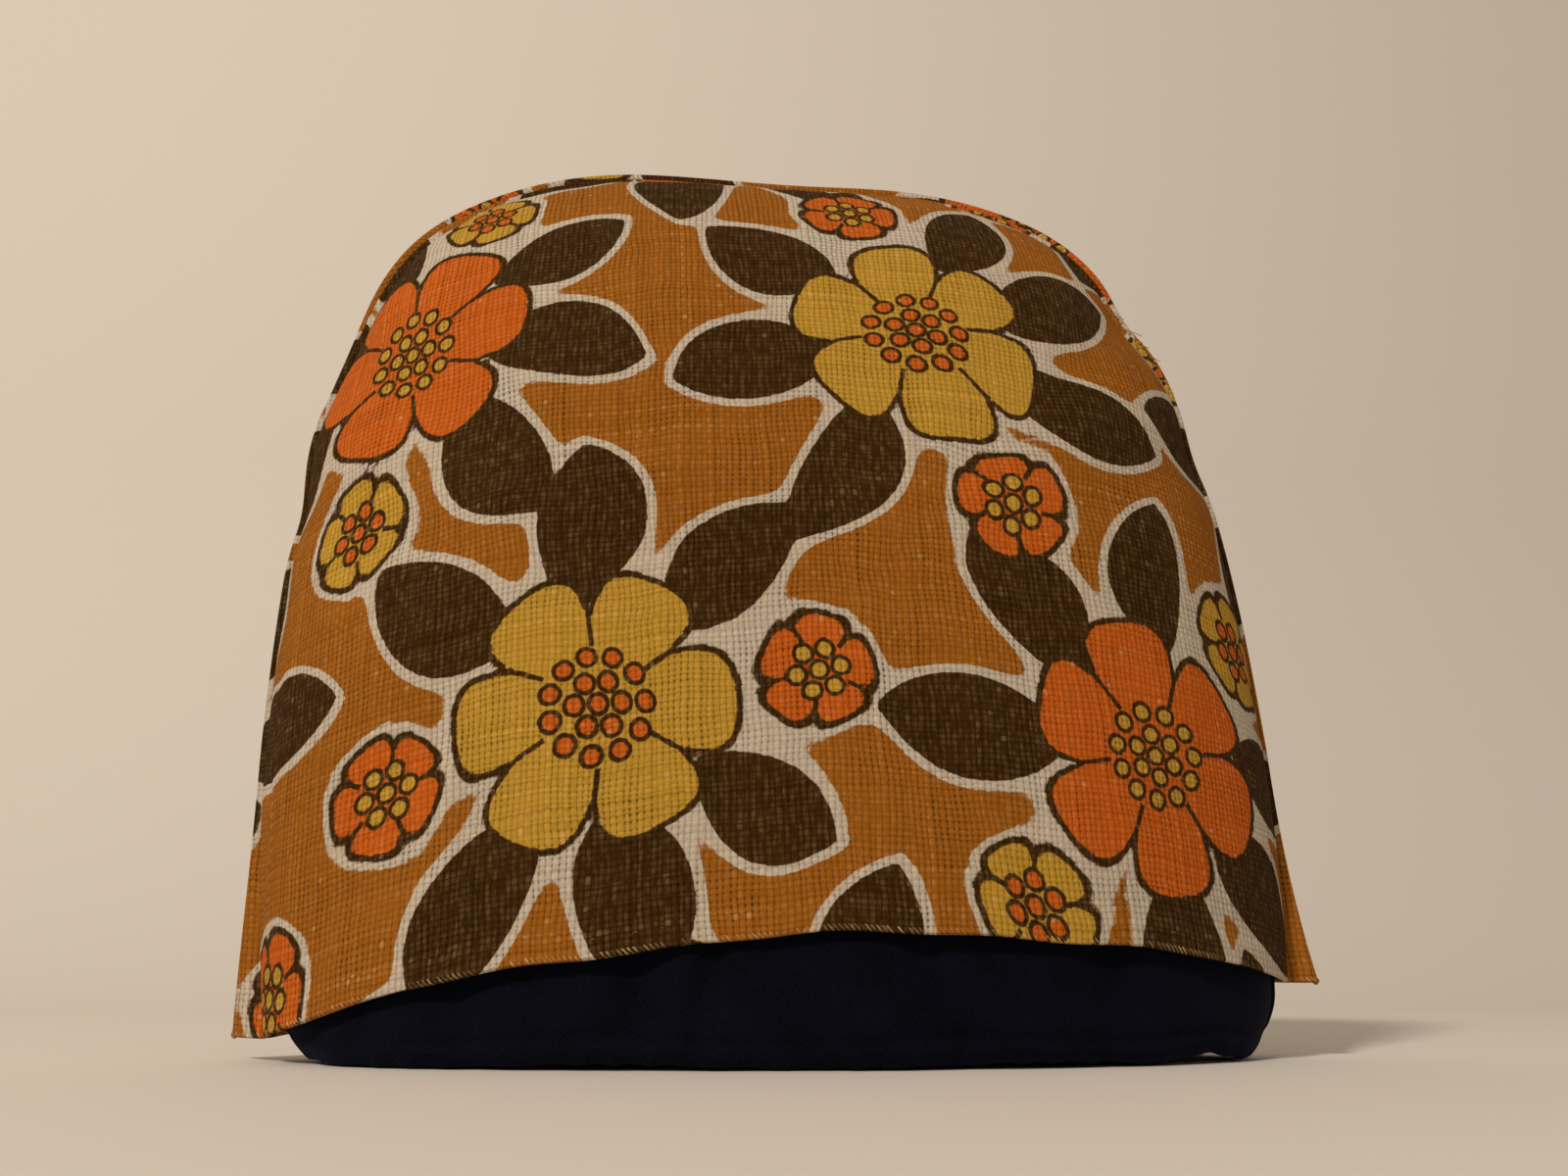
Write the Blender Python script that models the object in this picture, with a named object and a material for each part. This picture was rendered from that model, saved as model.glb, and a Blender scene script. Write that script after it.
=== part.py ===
"""A tea cosy that stands on its hem, with its mouth down.

A cover of coarse printed linen, two D-shaped panels seamed round the curve, is pulled over a separate
padded cotton liner, two soft pads joined the same way. The liner reaches the surface that the cosy stands
on and shows as a dark band under the cover's hem, which sits a little askew on it.

Metres, +Z up, front towards -Y, the origin in the middle of the footprint.
"""

import math

import bmesh
import bpy

# The plump form under the cover, measured over the linen.
FORM_HEIGHT = 0.278
MOUTH_HALF_WIDTH = 0.137
BELLY_HALF_WIDTH = 0.145
BELLY_HEIGHT = 0.090
FRONT_CROWN = 0.054
BACK_CROWN = 0.042
OUTLINE_POWER = 3.5
ACROSS_POWER, ACROSS_ROUNDING = 2.4, 0.60
UPWARD_POWER, UPWARD_ROUNDING = 3.4, 0.55

# The cover: one thickness of linen, with a flat seam edge that widens into an ear at each hem corner.
LINEN = 0.0012
SEAM_EDGE = 0.0022
EAR = 0.0115
EAR_HEIGHT = 0.080
# Its hem above the surface: a sloping line from corner to corner, which arches up over each crown.
HEM_AT_LEFT, HEM_AT_RIGHT = 0.0065, 0.0205
FRONT_HEM_ARCH = 0.018
BACK_HEM_ARCH = 0.012

# The liner: it lies inside the cover, and its pads meet in the seam plane round their rim.
LINER_SLACK_AT_CROWN = 0.0008
LINER_SLACK_AT_SEAM = 0.0038
PAD = 0.009
PAD_RIM = 0.0035
PAD_SEAM_EDGE = 0.002

# The gap that is kept between pieces which touch in the seam plane.
TOUCH_GAP = 0.0003

# The seam is uneven: how many degrees round it a bulge lies, how far it spreads, and how far it comes out.
SEAM_BULGES = (
    (30.0, 4.0, -0.0014),
    (38.0, 5.0, 0.0012),
    (47.0, 3.5, -0.0026),
    (57.0, 7.0, 0.0016),
    (84.0, 9.0, -0.0012),
    (104.0, 8.0, 0.0008),
    (126.0, 7.0, 0.0014),
    (139.0, 5.0, -0.0012),
    (150.0, 4.5, 0.0012),
    (159.0, 4.0, -0.0018),
)
SEAM_CENTRE = 0.100
SEAM_RADIUS = 0.170

# How the cosy slouches: it leans to its left and back, and its seam and faces wander in long waves.
LEAN = 0.035
LEAN_BACK = 0.080
SEAM_WANDER = 0.0025
WANDER_UP, WANDER_ACROSS = 0.048, 0.040
FRONT_HOLLOWS = 0.030
HOLLOW_WIDTH, HOLLOW_HEIGHT = 0.034, 0.043
BACK_FOLDS = 0.055
BACK_FOLD_WIDTH = 0.0145
LEFT_EAR_CURL = 0.009
RIGHT_EAR_LIFT = 0.005
EAR_ROOT = 0.133
# The two layers of the left ear gape apart at the hem.
LEFT_EAR_GAPE = 0.0022
GAPE_HEIGHT = 0.035
# The liner's hem corners are rounded off: they draw in below the cover's hem.
TUCK = 0.008
TUCK_HEIGHT = 0.017
TUCK_ROOT, TUCK_LENGTH = 0.112, 0.022

COLUMNS, ROWS = 32, 20
LINER_COLUMNS, LINER_ROWS = 28, 18

LINEN_OCHRE = (0.434, 0.144, 0.017)
COTTON_NAVY = (0.005, 0.006, 0.016)


def clear_scene():
    for item in list(bpy.data.objects):
        bpy.data.objects.remove(item, do_unlink=True)


def fading(value, reach):
    """1 at zero, falling smoothly to 0 at the reach."""
    return max(0.0, 1.0 - value / reach) ** 2


def form_half_width(z):
    """Half the width of the form's bottom outline, which draws in from the belly to the mouth."""
    return BELLY_HALF_WIDTH - (BELLY_HALF_WIDTH - MOUTH_HALF_WIDTH) * fading(z, BELLY_HEIGHT)


def standoff(x, z, crown, inset_at_seam, inset_at_crown):
    """How far a layer of the form stands off the seam plane, at a place across and up."""
    height = FORM_HEIGHT - inset_at_seam
    up = min(max(z / height, 0.0), 1.0)
    edge = (form_half_width(z) - inset_at_seam) * (1.0 - up**OUTLINE_POWER) ** (1.0 / OUTLINE_POWER)
    if edge <= 0.0 or abs(x) >= edge:
        return 0.0
    across = (1.0 - (abs(x) / edge) ** ACROSS_POWER) ** ACROSS_ROUNDING
    upward = (1.0 - up**UPWARD_POWER) ** UPWARD_ROUNDING
    return (crown - inset_at_crown) * across * upward


def cover_hem(across, arch):
    """Height of the cover's hem above the surface, from -1 at its left corner to 1 at its right."""
    slope = (HEM_AT_RIGHT + HEM_AT_LEFT) / 2 + (HEM_AT_RIGHT - HEM_AT_LEFT) / 2 * across
    return slope + arch * (1.0 - across * across)


def bulged(x, z):
    """Lets a place in the seam plane follow the seam's bulges and dips."""
    angle = math.degrees(math.atan2(z - SEAM_CENTRE, x))
    out = sum(far * math.exp(-(((angle - middle) / spread) ** 2)) for middle, spread, far in SEAM_BULGES)
    stretch = 1.0 + out / SEAM_RADIUS
    return x * stretch, SEAM_CENTRE + (z - SEAM_CENTRE) * stretch


def tucked(x, z, depth):
    """Draws the hem's corners in by a depth, so that they are round and not square."""
    drawn = depth * fading(z, TUCK_HEIGHT) * max(0.0, (abs(x) - TUCK_ROOT) / TUCK_LENGTH) ** 2
    return x - math.copysign(drawn, x)


def slouched(x, y, z):
    """Bends space smoothly, so that the layers stay nested in each other."""
    x, z = bulged(x, z)
    if y < 0.0:
        y *= 1.0 + FRONT_HOLLOWS * math.sin(x / HOLLOW_WIDTH + 0.6) * math.sin(z / HOLLOW_HEIGHT + 0.9)
    else:
        y *= 1.0 + BACK_FOLDS * fading(z, FORM_HEIGHT) * math.sin(x / BACK_FOLD_WIDTH + 0.8)
    y += SEAM_WANDER * (math.sin(z / WANDER_UP + 0.4) + 0.5 * math.sin(x / WANDER_ACROSS + 1.1))
    ear = fading(z, EAR_HEIGHT)
    y += LEFT_EAR_CURL * ear * max(0.0, (-x - EAR_ROOT) / (EAR + SEAM_EDGE)) ** 2
    y -= RIGHT_EAR_LIFT * ear * max(0.0, (x - EAR_ROOT) / (EAR + SEAM_EDGE)) ** 2
    return x - LEAN * z, y + LEAN_BACK * z, z


def spaced(step):
    """Steps from -1 to 1, made closer near both ends, where the form turns fastest."""
    return 0.3 * step + 0.7 * math.sin(step * math.pi / 2)


def half_disc(u, v):
    """A square's upper half onto a half disc of radius 1."""
    return u * math.sqrt(1.0 - v * v / 2), v * math.sqrt(1.0 - u * u / 2)


def d_shape(u, v):
    """The same place on a half disc squared off to the power of the outline."""
    x, y = half_disc(u, v)
    if x == 0.0 and y == 0.0:
        return 0.0, 0.0
    stretch = math.hypot(x, y) / (abs(x) ** OUTLINE_POWER + y**OUTLINE_POWER) ** (1.0 / OUTLINE_POWER)
    return x * stretch, y * stretch


def seam_normal(across, up):
    """The direction in the seam plane that points straight out of the D's curved edge."""
    x = math.copysign(abs(across) ** (OUTLINE_POWER - 1.0), across) / BELLY_HALF_WIDTH
    z = up ** (OUTLINE_POWER - 1.0) / FORM_HEIGHT
    length = math.hypot(x, z)
    return x / length, z / length


def cover_place(across, up, arch):
    """Where a place on the D-shaped cover lies in the seam plane."""
    z = FORM_HEIGHT * up + cover_hem(across, arch) * (1.0 - up) ** 2
    return form_half_width(z) * across, z


def cover_edge(z):
    """Width of the flat seam edge, which widens into the ear at the hem."""
    return SEAM_EDGE + EAR * fading(z, EAR_HEIGHT)


def liner_place(across, up):
    """Where a place on the D-shaped liner lies in the seam plane."""
    inset = LINEN + LINER_SLACK_AT_SEAM
    z = (FORM_HEIGHT - inset) * up
    return (form_half_width(z) - inset) * across, z


def panel(name, columns, rows, place, edge_width, layers, tuck, side, material):
    """One closed cloth panel: a grid for its outer face, extruded to its inner one.

    layers gives the standoff of the outer and of the inner face from the seam plane, tuck is how far its
    hem corners draw in, and side is -1 for the front and 1 for the back.
    """
    bm = bmesh.new()
    bmesh.ops.create_grid(bm, x_segments=columns, y_segments=rows, size=1.0)
    extruded = bmesh.ops.extrude_face_region(bm, geom=bm.faces[:], use_keep_orig=True)
    inner = {item for item in extruded["geom"] if isinstance(item, bmesh.types.BMVert)}
    last_column, last_row = 1.0 - 2.0 / columns, 1.0 - 1.0 / rows
    seam = set()
    for vert in bm.verts:
        column, row = vert.co.x, (vert.co.y + 1.0) / 2
        on_seam = abs(column) > last_column + 1e-6 or row > last_row + 1e-6
        if on_seam:
            seam.add(vert)
            across, up = d_shape(spaced(column), spaced(row))
            x, z = place(across, up)
            out_x, out_z = seam_normal(across, up)
            x += out_x * edge_width(z)
            z += out_z * edge_width(z)
        else:
            across, up = d_shape(spaced(column / last_column), spaced(row / last_row))
            x, z = place(across, up)
        stand = layers[1 if vert in inner else 0](x, z, on_seam)
        vert.co = slouched(tucked(x, z, tuck), side * stand, z)
    # The seam edges of both panels are cut along the same diagonals, so that they lie flat on each other.
    seam_edge = [face for face in bm.faces if not seam.isdisjoint(face.verts)]
    bmesh.ops.triangulate(bm, faces=seam_edge, quad_method="FIXED")
    bmesh.ops.triangulate(bm, faces=bm.faces[:])
    bmesh.ops.recalc_face_normals(bm, faces=bm.faces[:])
    mesh = bpy.data.meshes.new(name)
    bm.to_mesh(mesh)
    bm.free()
    mesh.shade_smooth()
    mesh.set_sharp_from_angle(angle=math.radians(50))
    mesh.materials.append(material)
    piece = bpy.data.objects.new(name, mesh)
    bpy.context.scene.collection.objects.link(piece)
    return piece


def cover_panel(name, side, crown, arch, material):
    def gape(x, z):
        return LEFT_EAR_GAPE * fading(z, GAPE_HEIGHT) if x < 0.0 else 0.0

    def outer(x, z, on_seam):
        flat = TOUCH_GAP / 2 + LINEN
        return flat if on_seam else max(flat + gape(x, z), standoff(x, z, crown, 0.0, 0.0))

    def inner(x, z, on_seam):
        flat = TOUCH_GAP / 2
        return flat if on_seam else max(flat + gape(x, z), standoff(x, z, crown, LINEN, LINEN))

    def place(across, up):
        return cover_place(across, up, arch)

    return panel(name, COLUMNS, ROWS, place, cover_edge, (outer, inner), 0.0, side, material)


def liner_pad(name, side, crown, material):
    at_seam, at_crown = LINEN + LINER_SLACK_AT_SEAM, LINEN + LINER_SLACK_AT_CROWN

    def outer(x, z, on_seam):
        flat = TOUCH_GAP / 2 + PAD_RIM
        return flat if on_seam else max(flat, standoff(x, z, crown, at_seam, at_crown))

    def inner(x, z, on_seam):
        flat = TOUCH_GAP / 2
        return flat if on_seam else max(flat, standoff(x, z, crown, at_seam + PAD, at_crown + PAD))

    def edge_width(z):
        return PAD_SEAM_EDGE

    layers = (outer, inner)
    return panel(name, LINER_COLUMNS, LINER_ROWS, liner_place, edge_width, layers, TUCK, side, material)


def cloth(name, colour, roughness):
    material = bpy.data.materials.new(name)
    material.use_nodes = True
    shader = material.node_tree.nodes["Principled BSDF"]
    shader.inputs["Base Color"].default_value = (*colour, 1.0)
    shader.inputs["Roughness"].default_value = roughness
    shader.inputs["Metallic"].default_value = 0.0
    return material


def centre_on_footprint(pieces):
    """Moves the meshes so that the whole cosy's box has its middle over the origin."""
    corners = [vert.co for piece in pieces for vert in piece.data.vertices]
    middle_x = (min(co.x for co in corners) + max(co.x for co in corners)) / 2
    middle_y = (min(co.y for co in corners) + max(co.y for co in corners)) / 2
    for piece in pieces:
        for vert in piece.data.vertices:
            vert.co.x -= middle_x
            vert.co.y -= middle_y


def main():
    clear_scene()
    linen = cloth("printed_linen", LINEN_OCHRE, 0.85)
    linen_back = cloth("printed_linen_back", LINEN_OCHRE, 0.85)
    cotton = cloth("navy_cotton", COTTON_NAVY, 0.80)
    cotton_back = cloth("navy_cotton_back", COTTON_NAVY, 0.80)
    pieces = [
        cover_panel("cover_front", -1.0, FRONT_CROWN, FRONT_HEM_ARCH, linen),
        cover_panel("cover_back", 1.0, BACK_CROWN, BACK_HEM_ARCH, linen_back),
        liner_pad("liner_front", -1.0, FRONT_CROWN, cotton),
        liner_pad("liner_back", 1.0, BACK_CROWN, cotton_back),
    ]
    centre_on_footprint(pieces)
    cosy = bpy.data.objects.new("tea_cosy", None)
    bpy.context.scene.collection.objects.link(cosy)
    for piece in pieces:
        piece.parent = cosy


main()
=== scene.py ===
"""A tea cosy that stands on its hem: a cover of printed linen, pulled over a padded navy liner.

Metres, +Z up, the front towards -Y. Patterns of the cloth are in millimetres along its threads.
"""

import math

import bpy
import numpy as np
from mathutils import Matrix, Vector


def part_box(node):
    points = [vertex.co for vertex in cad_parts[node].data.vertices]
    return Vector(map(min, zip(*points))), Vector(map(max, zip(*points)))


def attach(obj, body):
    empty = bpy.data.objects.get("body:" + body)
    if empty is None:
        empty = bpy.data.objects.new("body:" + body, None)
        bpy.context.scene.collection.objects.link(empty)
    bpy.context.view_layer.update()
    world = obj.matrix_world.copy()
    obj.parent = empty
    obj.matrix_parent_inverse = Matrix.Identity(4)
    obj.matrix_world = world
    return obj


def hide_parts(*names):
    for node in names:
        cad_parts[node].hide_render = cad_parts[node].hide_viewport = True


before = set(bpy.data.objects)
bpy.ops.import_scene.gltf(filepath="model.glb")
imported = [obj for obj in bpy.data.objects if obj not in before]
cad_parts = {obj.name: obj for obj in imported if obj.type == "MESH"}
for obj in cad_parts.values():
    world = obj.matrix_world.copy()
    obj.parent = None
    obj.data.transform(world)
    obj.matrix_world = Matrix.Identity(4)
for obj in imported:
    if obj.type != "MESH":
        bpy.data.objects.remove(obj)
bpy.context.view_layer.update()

# ---- The liner ---------------------------------------------------------------------------------
# Two soft pads, each two layers of navy cotton with wadding between them, are sewn to each other
# round their curve. They give the cosy its plump form, and their lower edges stand on the table.

FORM_HEIGHT = 0.278
MOUTH_HALF_WIDTH = 0.137
BELLY_HALF_WIDTH = 0.145
BELLY_HEIGHT = 0.090
FRONT_CROWN, BACK_CROWN = 0.054, 0.042
OUTLINE_POWER = 3.5
ACROSS_POWER, ACROSS_ROUNDING = 2.4, 0.60
UPWARD_POWER, UPWARD_ROUNDING = 3.4, 0.55
TOUCH_GAP = 0.0003

LEAN, LEAN_BACK = 0.035, 0.080
SEAM_WANDER, WANDER_UP, WANDER_ACROSS = 0.0025, 0.048, 0.040
FRONT_HOLLOWS, HOLLOW_WIDTH, HOLLOW_HEIGHT = 0.030, 0.034, 0.043
BACK_FOLDS, BACK_FOLD_WIDTH = 0.055, 0.0145
EAR_HEIGHT, EAR_ROOT, EAR_REACH = 0.080, 0.133, 0.0137
LEFT_EAR_CURL, RIGHT_EAR_LIFT = 0.009, 0.005
# Round the seam: where a bulge lies and how far it spreads, in degrees, and how far it comes out.
SEAM_BULGES = (
    (30.0, 4.0, -0.0014),
    (38.0, 5.0, 0.0012),
    (47.0, 3.5, -0.0026),
    (57.0, 7.0, 0.0016),
    (84.0, 9.0, -0.0012),
    (104.0, 8.0, 0.0008),
    (126.0, 7.0, 0.0014),
    (139.0, 5.0, -0.0012),
    (150.0, 4.5, 0.0012),
    (159.0, 4.0, -0.0018),
)
SEAM_CENTRE, SEAM_RADIUS = 0.100, 0.170
# The pads' hem corners are rounded off, and beside the right one the edge arches off the table.
TUCK, TUCK_HEIGHT, TUCK_ROOT, TUCK_LENGTH = 0.008, 0.017, 0.112, 0.022
TOE_ARCH, TOE_ARCH_PLACE, TOE_ARCH_WIDTH, TOE_ARCH_HEIGHT = 0.0022, 0.106, 0.009, 0.030

SEAM_INSET, CROWN_INSET = 0.005, 0.002
PAD, PAD_RIM, PAD_SEAM_EDGE = 0.009, 0.0035, 0.002
PAD_ROUNDING = 0.0055
LINER_COLUMNS, LINER_ROWS, RIM_RINGS = 130, 116, 4
RIM_ROLL = math.radians(82)
FLAT_STEPS = 40
# How much of a grid's spacing is even, and how much is drawn to the ends.
SPACED_EVEN, SPACED_DRAWN = 0.3, 0.7
EASED_EVEN, EASED_DRAWN = 0.35, 0.65
# Each pad's lower edge is stitched 6 mm up, with small bumps of wadding below the stitches.
HEM_LINE, HEM_LINE_WIDTH, HEM_LINE_DEPTH = 0.0062, 0.0011, 0.0010
LINE_WAVER, LINE_WAVER_WIDTH = 0.0005, 0.014
BUMP_WIDTH, BUMP_SWAY, BUMP_DEPTH, BUMP_LIFT, BUMP_REACH = 0.0019, 0.0083, 0.00035, 0.0004, 0.010
# Shallow waves in the pads' faces, and how far the lower edge wavers off the table.
WAVE_DEPTH, WAVE_LEVEL, WAVE_WIDTH, WAVE_SWAY, WAVE_REACH = 0.0007, 1.7, 0.0105, 0.031, 0.09
WIDE_WAVE, WIDE_WAVE_WIDTH, WIDE_WAVE_HEIGHT = 0.7, 0.023, 0.035
INNER_WAVE, INNER_WAVE_WIDTH, INNER_WAVE_HEIGHT = 0.0004, 0.009, 0.012
LIFT, LIFT_WIDTH, LIFT_REACH = 0.0006, 0.017, 0.025
# Folds: place across and up, the way they run in degrees, half length, half width, depth.
FRONT_LINER_FOLDS = (
    (-0.038, 0.018, 96.0, 0.030, 0.0065, 0.0030),
    (-0.022, 0.020, 78.0, 0.026, 0.0035, 0.0022),
    (0.036, 0.014, 112.0, 0.024, 0.0045, 0.0028),
    (0.078, 0.020, 84.0, 0.030, 0.0070, 0.0020),
    (-0.082, 0.016, 104.0, 0.026, 0.0060, 0.0022),
    (0.006, 0.010, 88.0, 0.016, 0.0050, 0.0012),
)
BACK_LINER_FOLDS = (
    (-0.060, 0.018, 84.0, 0.030, 0.0060, 0.0026),
    (0.012, 0.020, 100.0, 0.028, 0.0055, 0.0028),
    (0.064, 0.016, 76.0, 0.026, 0.0060, 0.0022),
)


def add_grid(name, columns, rows):
    """A flat grid of faces from -1 to 1 each way, to be shaped point by point."""
    bpy.ops.object.select_all(action="DESELECT")
    bpy.ops.mesh.primitive_grid_add(x_subdivisions=columns, y_subdivisions=rows, size=2.0)
    piece = bpy.context.object
    piece.name = piece.data.name = name
    return piece


def read_points(piece):
    points = np.empty(3 * len(piece.data.vertices))
    piece.data.vertices.foreach_get("co", points)
    return points.reshape(-1, 3).T


def write_points(piece, x, y, z):
    piece.data.vertices.foreach_set("co", np.stack([x, y, z], axis=1).ravel())
    piece.data.update()


def write_cloth_map(piece, across, up):
    """Lays the cloth's own threads on the piece: its UV map holds millimetres of flat cloth."""
    layer = piece.data.uv_layers.active or piece.data.uv_layers.new(name="cloth")
    layer.name = "cloth"
    corners = np.empty(len(piece.data.loops), dtype=np.int32)
    piece.data.loops.foreach_get("vertex_index", corners)
    layer.data.foreach_set("uv", np.stack([across, up], axis=1)[corners].ravel())


def apply_modifiers(piece):
    bpy.ops.object.select_all(action="DESELECT")
    piece.select_set(True)
    bpy.context.view_layer.objects.active = piece
    for modifier in list(piece.modifiers):
        bpy.ops.object.modifier_apply(modifier=modifier.name)


def fading(value, reach):
    """1 at zero, falling smoothly to 0 at the reach."""
    return np.clip(1.0 - value / reach, 0.0, None) ** 2


def spaced(step):
    """Steps from -1 to 1, closer near both ends, where the form turns fastest."""
    return SPACED_EVEN * step + SPACED_DRAWN * np.sin(step * math.pi / 2)


def eased(step):
    """Steps from 0 to 1, closer near both ends."""
    return EASED_EVEN * step + EASED_DRAWN * (1.0 - np.cos(step * math.pi)) / 2


def squared_length(x, y):
    """A length in the D's own measure, which is 1 all along the outline of the D."""
    return (np.abs(x) ** OUTLINE_POWER + np.abs(y) ** OUTLINE_POWER) ** (1.0 / OUTLINE_POWER)


def d_shape(u, v):
    """A square's upper half onto a half disc, squared off to the power of the cosy's outline."""
    x, y = u * np.sqrt(1.0 - v * v / 2), v * np.sqrt(1.0 - u * u / 2)
    stretch = np.hypot(x, y) / np.maximum(squared_length(x, y), 1e-9)
    return x * stretch, y * stretch


def seam_normal(across, up):
    """The direction in the seam plane that points straight out of the D's curved edge."""
    x = np.sign(across) * np.abs(across) ** (OUTLINE_POWER - 1.0) / BELLY_HALF_WIDTH
    z = up ** (OUTLINE_POWER - 1.0) / FORM_HEIGHT
    length = np.maximum(np.hypot(x, z), 1e-9)
    return x / length, z / length


def form_half_width(z):
    return BELLY_HALF_WIDTH - (BELLY_HALF_WIDTH - MOUTH_HALF_WIDTH) * fading(z, BELLY_HEIGHT)


def standoff(x, z, crown, seam_inset, crown_inset):
    """How far a layer of the form stands off the seam plane."""
    up = np.clip(z / (FORM_HEIGHT - seam_inset), 0.0, 1.0)
    edge = (form_half_width(z) - seam_inset) * (1.0 - up**OUTLINE_POWER) ** (1.0 / OUTLINE_POWER)
    aside = np.clip(np.abs(x) / np.maximum(edge, 1e-6), 0.0, 1.0)
    across = (1.0 - aside**ACROSS_POWER) ** ACROSS_ROUNDING
    return (crown - crown_inset) * across * (1.0 - up**UPWARD_POWER) ** UPWARD_ROUNDING


def bulged(x, z):
    """Lets a spot of the seam plane follow the seam's bulges and dips."""
    angle = np.degrees(np.arctan2(z - SEAM_CENTRE, x))
    out = sum(far * np.exp(-(((angle - middle) / spread) ** 2)) for middle, spread, far in SEAM_BULGES)
    stretch = 1.0 + out / SEAM_RADIUS
    return x * stretch, SEAM_CENTRE + (z - SEAM_CENTRE) * stretch


def tucked(x, z, depth):
    """Draws the hem's corners in by a depth, so that they are round and not square."""
    outwards = np.clip((np.abs(x) - TUCK_ROOT) / TUCK_LENGTH, 0.0, None)
    return x - np.copysign(depth * fading(z, TUCK_HEIGHT) * outwards**2, x)


def slouched(x, y, z):
    """The form leans to its left and back, its seam and faces wander, and its ears turn out of the
    seam plane."""
    x, z = bulged(x, z)
    hollows = 1.0 + FRONT_HOLLOWS * np.sin(x / HOLLOW_WIDTH + 0.6) * np.sin(z / HOLLOW_HEIGHT + 0.9)
    folds = 1.0 + BACK_FOLDS * fading(z, FORM_HEIGHT) * np.sin(x / BACK_FOLD_WIDTH + 0.8)
    y = y * np.where(y < 0.0, hollows, folds)
    y = y + SEAM_WANDER * (np.sin(z / WANDER_UP + 0.4) + 0.5 * np.sin(x / WANDER_ACROSS + 1.1))
    ear = fading(z, EAR_HEIGHT)
    y = y + LEFT_EAR_CURL * ear * np.clip((-x - EAR_ROOT) / EAR_REACH, 0.0, None) ** 2
    y = y - RIGHT_EAR_LIFT * ear * np.clip((x - EAR_ROOT) / EAR_REACH, 0.0, None) ** 2
    return x - LEAN * z, y + LEAN_BACK * z, z


def flat_place(x, z, crown, seam_inset, crown_inset, hem):
    """Where a spot of a bulging panel lies in its flat cut, in mm: the lengths of cloth from the
    panel's middle across to it, and from the hem up to it."""
    way = np.sin(np.linspace(0.0, math.pi / 2, FLAT_STEPS))[:, None]
    step_x, step_z = x * way, hem + (z - hem) * way
    off_x = standoff(step_x, z, crown, seam_inset, crown_inset)
    off_z = standoff(x, step_z, crown, seam_inset, crown_inset)
    across = np.hypot(np.diff(step_x, axis=0), np.diff(off_x, axis=0)).sum(axis=0)
    up = np.hypot(np.diff(step_z, axis=0), np.diff(off_z, axis=0)).sum(axis=0)
    return 1000.0 * np.sign(x) * across, 1000.0 * np.sign(z - hem) * up


def turned(x, y, degrees):
    angle = math.radians(degrees)
    return x * math.cos(angle) + y * math.sin(angle), y * math.cos(angle) - x * math.sin(angle)


def creased(x, z, creases):
    """Depth of the soft troughs that a table of creases or folds presses into a panel."""
    depth = np.zeros_like(x)
    for crease_x, crease_z, degrees, half_length, half_width, deep in creases:
        along, aside = turned(x - crease_x, z - crease_z, degrees)
        depth = depth + deep * np.exp(-((along / half_length) ** 2) - (aside / half_width) ** 2)
    return depth


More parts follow.
